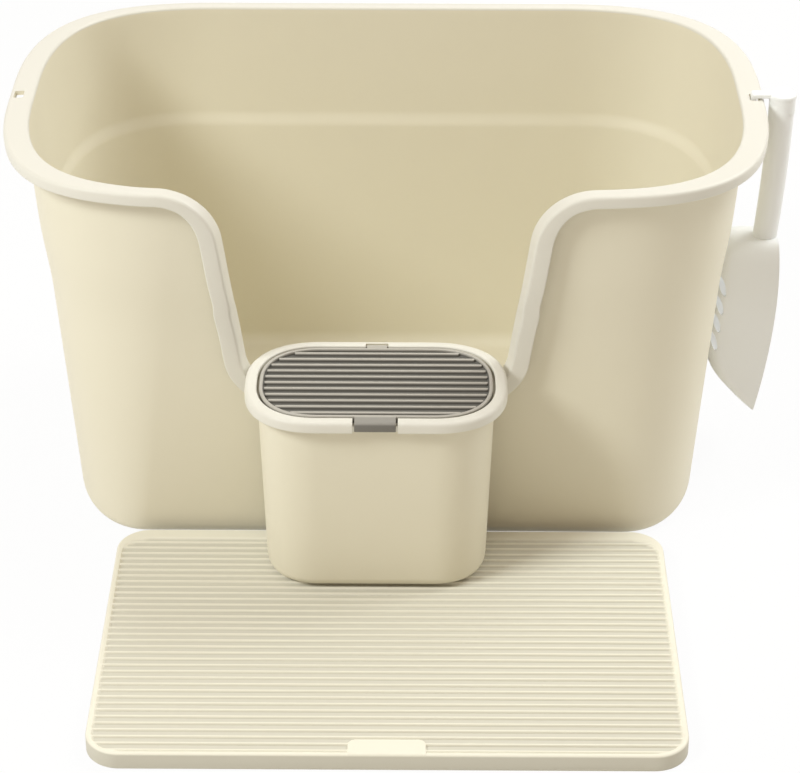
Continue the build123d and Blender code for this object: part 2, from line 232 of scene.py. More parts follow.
# %% [markdown]
# ## The plan of a moulding
# Seen from above, the tub, the bin and the lid are rectangles whose corners are very round: not
# arcs of a circle but fuller curves. A place number says where a point is on the right half of
# that outline: 0 to 1 runs along the front, 1 to 2 round the front corner, 2 to 3 along the
# side, 3 to 4 round the back corner and 4 to 5 along the back. A column of the mesh keeps its
# place number from the floor to the edge, so the walls stay as straight as the mould.

# %% Point of an outline for a place number
def corner_point(turn, half_width, half_depth, corner_width, corner_depth, fullness):
    end = half_width - corner_width
    side = half_depth - corner_depth
    a, b = (1 - turn) ** 3, 3 * turn * (1 - turn) ** 2
    c, d = 3 * turn**2 * (1 - turn), turn**3
    x = (a + b) * end + (c + d) * half_width + b * fullness * corner_width
    y = (a + b) * half_depth + (c + d) * side + c * fullness * corner_depth
    return x, y


def plan(place, half_width, half_depth, corner_width, corner_depth, fullness):
    sizes = (half_width, half_depth, corner_width, corner_depth, fullness)
    front_x, front_y = corner_point(np.clip(place - 1, 0, 1), *sizes)
    back_x, back_y = corner_point(np.clip(4 - place, 0, 1), *sizes)
    end = half_width - corner_width
    side = half_depth - corner_depth
    x = np.where(place < 1, place * end, front_x)
    x = np.where(place > 3, back_x, x)
    x = np.where(place > 4, (5 - place) * end, x)
    y = np.where(place <= 2, -front_y, (2 * place - 5) * side)
    y = np.where(place > 3, back_y, y)
    return x, y


def whole(half):
    """Adds the mirrored left half to rings of the right half."""
    half = np.asarray(half, float)
    return np.concatenate([half, half[:, -2:0:-1] * (-1, 1, 1)], axis=1)


# %% [markdown]
# ## The tub
# The real tub is one injection moulding about 3 mm thick: a leaning wall with a shallow step
# two thirds of the way up, and a flange that turns outwards and down all round, also round the
# low entry. A boolean cut would leave that flange's edges hard and its corners untidy. Here the
# columns of the mesh end on the edge itself, on the rim as on the entry, and the flange is one
# cross-section carried along that edge.

# %% Sizes of the tub
tub_low, tub_high = (np.array(corner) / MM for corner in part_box("litter_tub"))
tub_height = tub_high[2]
base_half_width, base_half_depth = 261.5, 161.0
top_half_width, top_half_depth = 292.0, 179.3
corner_widths, corner_depths, corner_fullness = (63.0, 142.0), (105.0, 158.3), (0.59, 0.72)
wall_step, step_start, step_end, step_spread = 2.5, 220.0, 234.0, 26.0
side_lean = (top_half_width - wall_step - base_half_width) / tub_height
front_lean = (top_half_depth - wall_step - base_half_depth) / tub_height
wall_thickness, floor_thickness, base_rounding = 3.0, 3.0, 12.0
flange_side, flange_front = 18.0, 10.7
print("tub", np.round(tub_high - tub_low, 1), "mm")


# %% Point of the tub's wall
def inner_step(height):
    return wall_step * ease((height - step_start) / (step_end - step_start))


def outer_step(height):
    """The same step on the outer face, where the mould spreads it until it hardly shows."""
    past_start = height - step_start + step_spread
    return wall_step * ease(past_start / (step_end - step_start + 2 * step_spread))


def tub_sizes(height, out, inset=0.0):
    """Sizes of the plan at a height. Out is -1 on the inner face, 0 outside, 1 at the flange."""
    share = height / tub_height
    grow_side = np.where(out < 0, wall_thickness * out, flange_side * out) - inset
    grow_front = np.where(out < 0, wall_thickness * out, flange_front * out) - inset
    step = np.where(out < 0, inner_step(height), outer_step(height))
    return (
        base_half_width + side_lean * height + step + grow_side,
        base_half_depth + front_lean * height + step + grow_front,
        between(corner_widths, share) + grow_side,
        between(corner_depths, share) + grow_front,
        between(corner_fullness, share),
    )


def tub_point(place, height, out, inset=0.0):
    place, height = np.broadcast_arrays(place, height)
    x, y = plan(place, *tub_sizes(height, out, inset))
    return np.stack([x, y, height + 0.0 * x], axis=-1)


# %% Line of the entry's edge, seen from the front
sill_height, entry_half_width, entry_slope = 150.0, 100.3, 0.1185
foot_radius, shoulder_radius, entry_flare = 35.0, 50.0, 0.288
steepness = math.atan2(1, entry_slope)
foot_reach = foot_radius * math.tan(steepness / 2)
shoulder_reach = shoulder_radius * math.tan(steepness / 2)
foot_start = entry_half_width - foot_reach
entry_top = entry_half_width + entry_slope * (tub_height - sill_height)
sill_columns, foot_columns, side_columns, shoulder_columns = 14, 18, 26, 26
foot = run(0, steepness, foot_columns)
foot_x = foot_start + foot_radius * np.sin(foot)
foot_z = sill_height + foot_radius * (1 - np.cos(foot))
shoulder = np.linspace(steepness, 0, shoulder_columns)
shoulder_x = entry_top + shoulder_reach - shoulder_radius * np.sin(shoulder)
shoulder_z = tub_height - shoulder_radius * (1 - np.cos(shoulder))
side_start_x = foot_start + foot_radius * math.sin(steepness)
side_start_z = sill_height + foot_radius * (1 - math.cos(steepness))
up_share = run(0, 1, side_columns)
side_x = between((side_start_x, shoulder_x[0]), up_share)
side_z = between((side_start_z, shoulder_z[0]), up_share)
edge_x = np.concatenate([run(0, foot_start, sill_columns), foot_x, side_x, shoulder_x])
edge_z = np.concatenate([np.full(sill_columns, sill_height), foot_z, side_z, shoulder_z])
edge_turn = np.concatenate([
    np.zeros(sill_columns), foot, np.full(side_columns, steepness), shoulder
])
print("entry edge:", len(edge_x), "columns, shoulder ends at x", round(float(edge_x[-1]), 1))


# %% Find the place number of a point on the front wall
halvings = 40


def place_at(x, height):
    """Place number of a point of the inner wall, known by its x and its height."""
    sizes = tub_sizes(height, -1.0)
    end = sizes[0] - sizes[2]
    low, high = np.zeros_like(x), np.ones_like(x)
    for _ in range(halvings):
        middle = (low + high) / 2
        beyond = corner_point(middle, *sizes)[0] > x
        low, high = np.where(beyond, low, middle), np.where(beyond, middle, high)
    return np.where(x <= end, x / end, 1 + (low + high) / 2)


rim_start = float(place_at(edge_x[-1:], np.array([tub_height]))[0])
rim_places = np.concatenate([
    np.linspace(first, last, count)[1:]
    for first, last, count in ((rim_start, 2, 40), (2, 3, 11), (3, 4, 54), (4, 5, 18))
])


def below_edge(drop):
    """Place number and height of each column's point that lies a distance below the edge."""
    drop = np.broadcast_to(drop, (len(edge_x) + len(rim_places),))
    entry_drop, rim_drop = drop[: len(edge_x)], drop[len(edge_x) :]
    flare = entry_flare * (front_lean * (edge_z - sill_height) + outer_step(edge_z))
    away = flare * np.sin(edge_turn) + entry_drop
    x = edge_x + away * np.sin(edge_turn)
    z = edge_z - away * np.cos(edge_turn)
    places = np.concatenate([place_at(x, z), rim_places])
    return places, np.concatenate([z, tub_height - rim_drop])


# %% Cross-section of the flange
rim_slope, rim_lip, rim_bend = 0.055, 10.0, 3.4
entry_lip_more, entry_bend_less = 3.2, 1.3
lip_thickness, web_thickness = 2.4, 3.5
inner_start, outer_start = 7.0, 12.5
around = np.concatenate([place_at(edge_x, edge_z), rim_places])
side_share = np.where(around < 2.5, ease(around - 1), ease(4 - around))
overhang = between((flange_front, flange_side), side_share)
across = wall_thickness + overhang
entry_share = np.concatenate([ease(edge_turn / steepness), 0 * rim_places])
flare_share = entry_share.copy()
flare_share[: len(edge_x) - shoulder_columns] = 1.0
slope = between((rim_slope, entry_flare), flare_share)
lip_drop = rim_lip + entry_lip_more * entry_share
outer_bend = (rim_bend - entry_bend_less * entry_share)[:, None]


def section_corner(out, down):
    """A corner of the section, some millimetres outwards and down, for every column."""
    return np.stack([out + 0 * across, down + 0 * across], axis=-1)


flange_section = softened(
    [
        section_corner(0, inner_start),
        section_corner(0, 0),
        section_corner(across, slope * across),
        section_corner(across, slope * across + lip_drop),
        section_corner(across - lip_thickness, slope * across + lip_drop),
        section_corner(across - lip_thickness, slope * across + web_thickness),
        section_corner(wall_thickness, slope * wall_thickness + web_thickness),
        section_corner(wall_thickness, outer_start),
    ],
    (2.4, outer_bend, 1.1, 1.1, 1.6, 3.0),
)
flange_rows = []
for corner in flange_section:
    past_wall = (corner[:, 0] - wall_thickness) / overhang
    out = np.where(corner[:, 0] < wall_thickness, corner[:, 0] / wall_thickness - 1, past_wall)
    flange_rows.append(tub_point(*below_edge(corner[:, 1]), out))
print("flange:", len(flange_rows), "rows of", len(around), "columns")

# %% Rows down the wall
squeeze_room, near_step = 25.0, 4.0
upper_levels, lower_levels = 12, 26


def wall_rows(drop, out, lowest):
    """Rows from the flange down. Levels that a column has no height for are squeezed up close."""
    place, top = below_edge(drop)
    highest = tub_height - drop
    levels = np.concatenate([
        np.linspace(highest, step_end + near_step, upper_levels),
        np.arange(step_end + near_step - 1, step_start - near_step, -1.0),
        np.linspace(step_start - near_step, lowest, lower_levels),
    ])[1:]
    squeezed = top - squeeze_room
    rows = []
    for level in levels:
        near = squeezed + (level - squeezed) * squeeze_room / (highest - squeezed)
        rows.append(tub_point(place, np.where(level < squeezed, level, near), out))
    return place, rows


def rounding_rows(place, start, out):
    """Rows of the quarter turn from the wall into the floor."""
    rows = []
    for turn in quarter(9)[1:]:
        height = start - base_rounding * math.sin(turn)
        rows.append(tub_point(place, height, out, base_rounding * (1 - math.cos(turn))))
    return rows


def flat_rows(ring):
    """Rows of a flat floor, inwards from its edge."""
    return [ring * (share, share, 1) for share in (0.92, 0.75, 0.5, 0.25)]


# %% Assemble the tub's skin
inner_floor = floor_thickness + base_rounding
inner_place, inner_rows = wall_rows(inner_start, -1.0, inner_floor)
inner_rows += rounding_rows(inner_place, inner_floor, -1.0)
inner_rows += flat_rows(inner_rows[-1])
outer_place, outer_rows = wall_rows(outer_start, 0.0, base_rounding)
outer_rows += rounding_rows(outer_place, base_rounding, 0.0)
outer_rows += flat_rows(outer_rows[-1])
entry_offset = middle_of("step_bin")
flat_half_width, slide_blend = 215.0, 60.0


def slide_entry(rings):
    """Slides the flat middle of the front wall, with the entry in it, sideways."""
    in_the_middle = ease((flat_half_width - np.abs(rings[..., 0])) / slide_blend)
    in_front = ease(-rings[..., 1] / slide_blend)
    rings[..., 0] += entry_offset * (in_the_middle * in_front)
    return rings


# Rows over the flange's edge take a paler copy of the cream, which paints the sheen of light there.
edge_start = len(inner_rows) + 1
edge_end = len(inner_rows) + len(flange_rows) - 1
tub_rings = slide_entry(whole(inner_rows[::-1] + flange_rows + outer_rows))
tub = stack("moulded_tub", tub_rings, (edge_start, edge_end))
print("tub skin:", len(tub.data.polygons), "faces")

# %% [markdown]
# A small slot goes through each side flange. The scoop's hook drops into the right one and the
# left one is empty, so the same scoop can hang on either side. Both are punched in the mould,
# which a boolean cut with a softened block does well on the flange's flat top.

# %% Punch the slots
slot_middle, slot_half_width, slot_half_length, slot_y = 302.0, 4.0, 6.5, -6.0
slot_bend, punch_reach = 1.2, 8


def rectangle(low_a, high_a, low_b, high_b, bend=0.0):
    """Outline of a rectangle, with its corners rounded if a bend is given."""
    corners = [(low_a, low_b), (high_a, low_b), (high_a, high_b), (low_a, high_b)]
    if not bend:
        return corners
    ways = [(1, 1), (-1, 1), (-1, -1), (1, -1)]
    outline = []
    for number, ((a, b), (way_a, way_b)) in enumerate(zip(corners, ways)):
        middle_a, middle_b = a + way_a * bend, b + way_b * bend
        for turn in quarter(5) + math.pi + number * math.pi / 2:
            outline.append((middle_a + bend * math.cos(turn), middle_b + bend * math.sin(turn)))
    return outline


for way in (-1, 1):
    middle = way * slot_middle
    sides = (middle - slot_half_width, middle + slot_half_width)
    ends = (slot_y - slot_half_length, slot_y + slot_half_length)
    outline = rectangle(*sides, *ends, slot_bend)
    punch = prism("punch", outline, tub_height - punch_reach, tub_height + punch_reach, "z")
    combine(tub, punch, "DIFFERENCE")
print("tub with slots:", len(tub.data.polygons), "faces")

# %% [markdown]
# ## The mat
# A thin moulded tray lies in front of the tub. Its top has a narrow border with round corners
# and, sunk inside it, a field crossed by 35 low ribs that catch litter from the paws. The top
# is a height that depends on x and y, so the skin is laid in stations from back to front, close
# together where a rib's flank rises, and the height comes from one formula. The underside is
# hollow, with braces between the cells.

# %% Sizes of the mat
mat_low, mat_high = (np.array(corner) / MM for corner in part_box("entry_mat"))
mat_half_width, mat_top = (mat_high[0] - mat_low[0]) / 2, 13.6
mat_front, mat_back = mat_low[1], mat_high[1]
mat_corner, mat_edge = 27.0, 2.0
border_side, border_back, border_front = 4.0, 11.6, 3.0
field_sunk, rib_count, rib_pitch, rib_flat, rib_half = 1.6, 35, 7.956, 0.6, 1.5
first_rib = mat_back - 18.4
thumb_half_width, thumb_back, thumb_bend = 29.0, mat_front + 18.6, 6.0
field_slope, thumb_slope, thumb_rise = 2.2, 0.8, 0.4
print("mat", np.round(mat_high - mat_low, 1), "mm")


# %% Height of the mat's top
def inside(x, y, half_width, front, back, bend):
    """Distance from a point to the edge of a rounded rectangle, more than 0 inside."""
    over_x = np.abs(x) - (half_width - bend)
    over_y = np.abs(y - (front + back) / 2) - ((back - front) / 2 - bend)
    outside = np.hypot(np.maximum(over_x, 0), np.maximum(over_y, 0))
    return bend - outside - np.minimum(np.maximum(over_x, over_y), 0)


def mat_height(x, y):
    to_edge = np.clip(inside(x, y, mat_half_width, mat_front, mat_back, mat_corner), 0, mat_edge)
    height = mat_top - mat_edge + np.sqrt(mat_edge**2 - (mat_edge - to_edge) ** 2)
    field = (mat_half_width - border_side, mat_front + border_front, mat_back - border_back)
    sunk = ease(inside(x, y, *field, mat_corner - border_side) / field_slope)
    number = np.clip(np.round((first_rib - y) / rib_pitch), 0, rib_count - 1)
    from_rib = np.abs(y - (first_rib - number * rib_pitch))
    rib = 1 - ease((from_rib - rib_flat) / (rib_half - rib_flat))
    pad = inside(x, y, thumb_half_width, mat_front - thumb_bend, thumb_back, thumb_bend)
    pad_share = ease(pad / thumb_slope + 0.5)
    ribbed = height - field_sunk * sunk * (1 - rib)
    return ribbed * (1 - pad_share) + (height + thumb_rise) * pad_share


# %% Stations of the mat
# Each list holds distances in millimetres: from a rib's middle, then in from the back, the
# front and the sides. The thumb pad's edges have stations and columns of their own.
flank_steps = [0.6, 0.9, 1.1, 1.3, 1.55, 2.6]
rib_steps = np.array([-rib_pitch / 2, *(-step for step in flank_steps[::-1]), *flank_steps])
rib_stations = (first_rib - rib_pitch * np.arange(rib_count)[:, None] - rib_steps).ravel()
end_steps = mat_edge * (1 - np.cos(quarter(7)))
back_steps = np.concatenate([end_steps, [3, 5, 8, 10.5, 11.2, 11.6, 11.9, 12.3, 12.8]])
front_steps = np.concatenate([end_steps, [2.6, 3.0, 3.3, 3.7, 4.1]])
thumb_stations = thumb_back + np.arange(-6, 1.1, 0.5)
end_stations = np.concatenate([mat_back - back_steps, mat_front + front_steps])
stations = np.concatenate([rib_stations, end_stations, thumb_stations])
stations = np.unique(np.round(stations, 3))[::-1]
inner_steps = [3.0, 3.7, 4.0, 4.3, 4.7, 5.2, 6.5, 9, 14, 22, 34, 60, 100]
side_steps = np.concatenate([end_steps, inner_steps])
pad_places = np.array([0, 10, 20, 24, 25.5, 26.5, 27.5, 28, 28.4, 28.8, 29.2, 29.6, 30.2, 32])


def mat_ring(y):
    """One station: over the top from left to right, then back along the bottom."""
    from_middle = abs(y - (mat_front + mat_back) / 2)
    past = max(from_middle - ((mat_back - mat_front) / 2 - mat_corner), 0)
    half_width = mat_half_width - mat_corner + math.sqrt(max(mat_corner**2 - past**2, 0))
    right = np.unique(np.concatenate([half_width - side_steps[::-1], pad_places]))
    right = right[right > 0]
    x = np.concatenate([-right[::-1], [0], right])
    top = np.stack([x, np.full_like(x, y), mat_height(x, np.full_like(x, y))], axis=-1)
    return np.concatenate([top, [(half_width, y, 0), (-half_width, y, 0)]])


mat = stack("ribbed_mat", [mat_ring(y) for y in stations])
print("mat skin:", len(mat.data.polygons), "faces")

# %% Hollow out the mat's underside
mat_wall, brace, sheet_thickness = 3.0, 2.0, 4.6
cell_bend, cell_bottom = 2.0, -5
columns, rows = 7, 5
cell_x = np.linspace(-mat_half_width + mat_wall, mat_half_width - mat_wall, columns + 1)
cell_y = np.linspace(mat_front + mat_wall, mat_back - mat_wall, rows + 1)
cells = []
for column in range(columns):
    for row in range(rows):
        low_x, high_x = cell_x[column] + brace / 2, cell_x[column + 1] - brace / 2
        low_y, high_y = cell_y[row] + brace / 2, cell_y[row + 1] - brace / 2
        at_corner = column in (0, columns - 1) and row in (0, rows - 1)
        bend = mat_corner - mat_wall if at_corner else cell_bend
        cell_line = rectangle(low_x, high_x, low_y, high_y, bend)
        cells.append(prism("cell", cell_line, cell_bottom, mat_top - sheet_thickness, "z"))
combine(mat, gather("cells", cells), "DIFFERENCE")
set_sideways(mat, "entry_mat")
print("hollow mat:", len(mat.data.polygons), "faces")

# %% [markdown]
# ## The step bin
# A lidded bin stands on the mat in front of the sill, and the back of its upper part reaches
# over the sill like a shallow tray. Its rim has the tub's kind of flange, only smaller. It is
# again a stack of rings, from the inside floor up, over the rim and down the outside. Below the
# tray the rings' back is drawn forward to an upright heel wall with rounded corners.

# %% Sizes of the bin
bin_low, bin_high = (np.array(corner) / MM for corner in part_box("step_bin"))
bin_half_width, bin_half_depth = ((bin_high - bin_low) / 2)[:2]
bin_front, bin_back, bin_top = bin_low[1], bin_high[1], bin_high[2]
bin_middle, bin_bottom = (bin_front + bin_back) / 2, bin_low[2]
bin_corner, bin_fullness, bin_wall = 58.0, 0.62, 2.5
bin_flange_side, bin_flange_front, flange_less, bin_lean = 9.6, 9.0, 0.6, 0.033
heel, tray_bottom, heel_bend = bin_back - 37.9, 154.0, 12.0
bin_places = np.concatenate([
    run(0, 1, 8), run(1, 2, 22), run(2, 3, 5), run(3, 4, 22), np.linspace(4, 5, 9)
])
print("bin", np.round(bin_high - bin_low, 1), "mm")


# %% Rings of the bin
def bin_ring(height, inset, heel_line=None):
    """Right half of the bin's outline, drawn in by some millimetres at its sides."""
    on_flange = inset * bin_flange_front / bin_flange_side
    inset_front = np.where(inset < bin_flange_side, on_flange, inset - flange_less)
    widths = (bin_half_width - inset, bin_half_depth - inset_front)
    x, y = plan(bin_places, *widths, bin_corner - inset, bin_corner - inset_front, bin_fullness)
    y = y + bin_middle
    if heel_line is not None:
        x, y = drawn_to_heel(x, y, heel_line)
    return np.stack([x, y, np.full_like(x, height)], axis=-1)


def body_inset(height, inset=0.0):
    """How far the leaning body lies inside the rim's edge."""
    return bin_flange_side + bin_lean * (bin_top - height) + inset


tray_ring = bin_ring(tray_bottom, body_inset(tray_bottom))
kept_count = int(np.sum(tray_ring[:, 1] < heel - heel_bend))
turn_count = 10


def drawn_to_heel(x, y, heel_line):
    """Draws the back of a ring forward onto the upright heel wall, round a soft corner."""
    last = np.array([x[kept_count - 1], y[kept_count - 1]])
    ahead = unit(last - np.array([x[kept_count - 2], y[kept_count - 2]]))
    meet = last + ahead * (heel_line - last[1]) / ahead[1]
    leave = np.array([meet[0] - heel_bend, heel_line])
    share = np.linspace(0, 1, turn_count + 1)[1:, None]
    curve = (1 - share) ** 2 * last + 2 * share * (1 - share) * meet + share**2 * leave
    along = np.linspace(leave[0], 0, len(x) - kept_count - turn_count + 1)[1:]
    straight = np.stack([along, np.full_like(along, heel_line)], axis=-1)
    line = np.concatenate([np.stack([x, y], axis=-1)[:kept_count], curve, straight])
    return line[:, 0], line[:, 1]


# %% Inside, rim and outside of the bin
def drawn_in(ring, middle_y, shares):
    """Copies of a level ring, drawn in towards a middle, that close a flat face."""
    middle = np.array([0, middle_y, ring[0, 2]])
    return [middle + (ring - middle) * share for share in shares]


def bin_floor_rows(bottom, rounding, inset, heel_line):
    """Rings from the middle of a floor out to its rounding and up to the wall."""
    rows = []
    for turn in np.linspace(math.pi / 2, 0, 7):
        drawn = rounding * (1 - math.cos(turn))
        height = bottom + rounding * (1 - math.sin(turn))
        rows.append(bin_ring(height, body_inset(height, inset) + drawn, heel_line - drawn))
    return drawn_in(rows[0], (bin_front + heel) / 2, (0.3, 0.6, 0.85)) + rows


back_share = ease((bin_places - 2.4) / 0.7)
body_levels = (60, 100, 140)


def tray_rows(bottom, inset, steps):
    """Rings of the tray's turn into its wall; each step is a rise and how far it is drawn in."""
    wall = body_inset(bottom, inset)
    return [bin_ring(bottom + rise, wall + drawn * back_share) for rise, drawn in steps]


inner_heel = heel - bin_wall
bin_rows = bin_floor_rows(bin_bottom + bin_wall, 7.5, bin_wall, inner_heel)
for height in (*body_levels, tray_bottom + 1):
    bin_rows.append(bin_ring(height, body_inset(height, bin_wall), inner_heel))
tray_floor = tray_bottom + bin_wall
bin_rows.append(bin_ring(tray_floor - 0.3, body_inset(tray_floor, bin_wall), inner_heel))
bin_rows.append(bin_ring(tray_floor, body_inset(tray_floor, bin_wall), inner_heel + 0.4))
bin_rows += tray_rows(tray_floor, bin_wall, ((0.05, 1.5), (0.5, 0.4), (2.0, 0.0)))
ledge, rim_foot = bin_top - 6.3, 165
rim_outer, lip_bottom, web_bottom = bin_top - 0.5, bin_top - 9.5, bin_top - 2.5
lip_inset, web_inset, body_start = 2.4, 7.5, bin_top - 8.3
rim_line = softened(
    (
        (body_inset(rim_foot, bin_wall), rim_foot),
        (body_inset(ledge, bin_wall), ledge),
        (bin_flange_side, ledge),
        (bin_flange_side, bin_top),
        (0.0, rim_outer),
        (0.0, lip_bottom),
        (lip_inset, lip_bottom),
        (lip_inset, web_bottom),
        (web_inset, web_bottom),
        (web_inset, body_start),
        (body_inset(body_start), body_start),
        (body_inset(rim_foot), rim_foot),
    ),
    (0.8, 0.8, 1.7, 3.4, 1.0, 1.0, 1.2, 1.2, 0.9, 0.6),
)
rim_rows = [bin_ring(height, inset) for inset, height in rim_line]
# Rows from here over the rim's edge take a paler copy of the cream, which is painted sheen.
rows_to_edge = 11
bin_edge = (len(bin_rows) + rows_to_edge, len(bin_rows) + len(rim_rows) - 1)
bin_rows += rim_rows
bin_rows += tray_rows(tray_bottom, 0.0, ((1.6, 0.0), (0.5, 0.4), (0.05, 1.6)))
bin_rows.append(bin_ring(tray_bottom, body_inset(tray_bottom), heel + 0.8))
bin_rows.append(bin_ring(tray_bottom - 0.8, body_inset(tray_bottom), heel))
for height in body_levels[::-1]:
    bin_rows.append(bin_ring(height, body_inset(height), heel))
bin_rows += bin_floor_rows(bin_bottom, 10.0, 0.0, heel)[::-1]
bin_piece = stack("step_bin_shell", whole(bin_rows), bin_edge)
print("bin skin:", len(bin_piece.data.polygons), "faces")

# %% [markdown]
# The rim is notched twice: at the front for the lid's pull tab, right through the flange, and
# at the back for the lid's knuckle, with a small socket in each side for its pivots.

# %% Notch the rim
tab_half_width, knuckle_half_width = 16.0, 8.0
pivot_y, pivot_z = bin_back - bin_flange_front + 2.0, bin_top - 2.1
pivot_radius, pivot_reach, socket_radius, socket_reach = 1.0, 11.2, 1.3, 11.5
notch_half_width, back_notch_half_width = tab_half_width + 1.5, knuckle_half_width + 1.2


def circle(middle_a, middle_b, radius, count=24):
    turns = run(0, 2 * math.pi, count)
    return [(middle_a + radius * math.cos(t), middle_b + radius * math.sin(t)) for t in turns]


# Half width, front, back, lowest level and corner bend of each notch
notches = (
    (notch_half_width, bin_front - 1, bin_front + 10.2, ledge, 0.8),
    (notch_half_width, bin_front - 1, bin_front + 6.9, ledge - 12, 0.6),
    (back_notch_half_width, bin_back - 14.6, bin_back - 4.6, ledge, 1.0),
)
for half_width, front, back, lowest, bend in notches:
    notch_line = rectangle(-half_width, half_width, front, back, bend)
    combine(bin_piece, prism("notch", notch_line, lowest, bin_top + 5, "z"), "DIFFERENCE")
socket = prism("socket", circle(pivot_y, pivot_z, socket_radius), -socket_reach, socket_reach)
combine(bin_piece, socket, "DIFFERENCE")
set_sideways(bin_piece, "step_bin")
print("notched bin:", len(bin_piece.data.polygons), "faces")

# %% [markdown]
# ## The lid
# A grey plate with a raised ring round it lies in the bin's recess. Eleven low ribs cross it, so
# that paws don't slip when it is trodden on as a step. A tab rolls over the front of the rim to
# lift it by, and a knuckle at the back turns on two small pivots. Ring, plate and ribs could be
# one height field, but ribs with round ends are clearer as bars that are joined on.

# %% Plate and ring of the lid
lid_gap, plate_thickness, ring_rise = 0.3, 2.5, 3.2
lid_bottom = ledge + lid_gap
plate_top = lid_bottom + plate_thickness
ring_top = plate_top + ring_rise
lid_edge = bin_flange_side + 1.9
ring_width, bottom_start, plate_start = 2.8, 3, 7
lid_line = softened(
    (
        (lid_edge + bottom_start, lid_bottom),
        (lid_edge, lid_bottom),
        (lid_edge, ring_top),
        (lid_edge + ring_width, ring_top),
        (lid_edge + ring_width, plate_top),
        (lid_edge + plate_start, plate_top),
    ),
    (0.6, 1.1, 0.9, 0.7),
)
lid_rows = [bin_ring(height, inset) for inset, height in lid_line]
lid_bottom_rows = drawn_in(lid_rows[0], bin_middle, (0.2, 0.5, 0.8))
lid_top_rows = drawn_in(lid_rows[-1], bin_middle, (0.8, 0.5, 0.2))
lid = stack("ribbed_lid", whole(lid_bottom_rows + lid_rows + lid_top_rows))
print("lid skin:", len(lid.data.polygons), "faces")


# %% Ribs of the lid
rib_rise, rib_root, lid_rib_half, rib_gap = 2.6, 0.4, 1.3, 1.2
lid_ribs, lid_rib_pitch = 11, 9.05


def rib_half_length(offset):
    """Half the length of a rib that stops short of the ring."""
    half_line = bin_ring(plate_top, lid_edge + ring_width + rib_gap)
    back = half_line[half_line[:, 1] > bin_middle]
    return float(np.interp(abs(offset) - lid_rib_half / 2, back[:, 1] - bin_middle, back[:, 0]))


def lid_rib(offset):
    """A bar with a softened top and round ends, sunk a little into the plate."""
    length = rib_half_length(offset)
    turns = np.linspace(-math.pi / 2, math.pi / 2, 9)
    ends = length - lid_rib_half + lid_rib_half * np.sin(turns[4:])
    places = np.concatenate([-ends[::-1], ends])
    rings = []
    for x in places:
        past = max(abs(x) - (length - lid_rib_half), 0) / lid_rib_half
        half = max(lid_rib_half * math.sqrt(max(1 - past**2, 0)), 0.05)
        low, top = plate_top - rib_root, plate_top + rib_rise
        corners = ((-half, low), (-half, top), (half, top), (half, low))
        bend = min(0.9, 0.8 * half)
        line = softened(corners, (bend, bend), 3)
        rings.append([(x, bin_middle + offset + a, b) for a, b in line])
    return stack("rib", rings)


offsets = (np.arange(lid_ribs) - (lid_ribs - 1) / 2) * lid_rib_pitch
combine(lid, gather("ribs", [lid_rib(offset) for offset in offsets]), "UNION")
print("lid with ribs:", len(lid.data.polygons), "faces")

# %% Tab and knuckle of the lid
tab_thickness, tab_drop, tab_rounding = 2.2, 7.0, 0.6
tab_outer, tab_root = bin_front + 0.6, bin_front + 12.2
tab_inner = tab_outer + tab_thickness
tab_bottom = ring_top - tab_thickness / 2 - tab_drop
knuckle_length, knuckle_radius = 5.2, 1.6


def tab_line(inset):
    """The tab seen from its side, an angle that is drawn in a little towards its two ends."""
    top, low = ring_top - inset, ring_top - tab_thickness + inset
    outer, inner, bottom = tab_outer + inset, tab_inner - inset, tab_bottom + inset
    root_low = (tab_root, low)
    outside = [root_low, (tab_root, top), (outer, top), (outer, bottom)]
    corners = (*outside, (inner, bottom), (inner, low), root_low)
    return softened(corners, (0.2, 3.4 - inset, 0.9 - inset, 0.9 - inset, 1.4), 6)[:-1]


turns = quarter(4)
insets = [tab_rounding * (1 - math.sin(turn)) for turn in turns]
ends = [tab_half_width - tab_rounding * (1 - math.cos(turn)) for turn in turns]
tab_lines = [tab_line(inset) for inset in insets]
tab = bar("tab", tab_lines + tab_lines[::-1], [-end for end in ends] + ends[::-1])
combine(lid, tab, "UNION")
knuckle_line = [(pivot_y - knuckle_length, pivot_z - knuckle_radius)]
for turn in np.linspace(-math.pi / 2, math.pi / 2, 13):
    y, z = knuckle_radius * math.cos(turn), knuckle_radius * math.sin(turn)
    knuckle_line.append((pivot_y + y, pivot_z + z))
knuckle_line.append((pivot_y - knuckle_length, pivot_z + knuckle_radius))
knuckle = prism("knuckle", knuckle_line, -knuckle_half_width, knuckle_half_width)
combine(lid, soften(knuckle, 0.3, 2, 60), "UNION")
pivots = prism("pivots", circle(pivot_y, pivot_z, pivot_radius), -pivot_reach, pivot_reach)
combine(lid, pivots, "UNION")
set_sideways(lid, "bin_lid")
print("finished lid:", len(lid.data.polygons), "faces")

# %% [markdown]
# ## The scoop
# The scoop hangs by a hook on a flat tongue at the top of its round handle. Its head is a deep
# bowl beside the tub's wall: the sieve floor faces the wall, the open side faces away and the
# lip at the bottom is straight. The bowl is a thick block of level rings with a smaller one cut
# out of it, which leaves an even wall, and four slots go through near the floor.

# %% Sizes of the scoop
scoop_low, scoop_high = (np.array(corner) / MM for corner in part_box("litter_scoop"))
scoop_line, scoop_y = 324.8, slot_y
head_bottom, head_top, head_half, head_wall = scoop_low[2], 204.5, 33.0, 2.4
head_length = head_top - head_bottom
belly_height, head_depth, scoop_lip = 67.0, 55.2, 1.5
wall_gap, floor_bend, top_bend = 1.3, 12.0, 13.0
taper_length, taper_inset = 59.0, 20.0
edge_bulge, peak_share = 13.3, 0.85
slot_count, slot_pitch, slot_inset = 4, 17.3, 6.0
print("scoop", np.round(scoop_high - scoop_low, 1), "mm")


# %% Rings of the scoop's head
def beside_wall(level):
    """Where the scoop's floor stands at a level, just clear of the tub's wall."""
    return base_half_width + side_lean * level + wall_gap


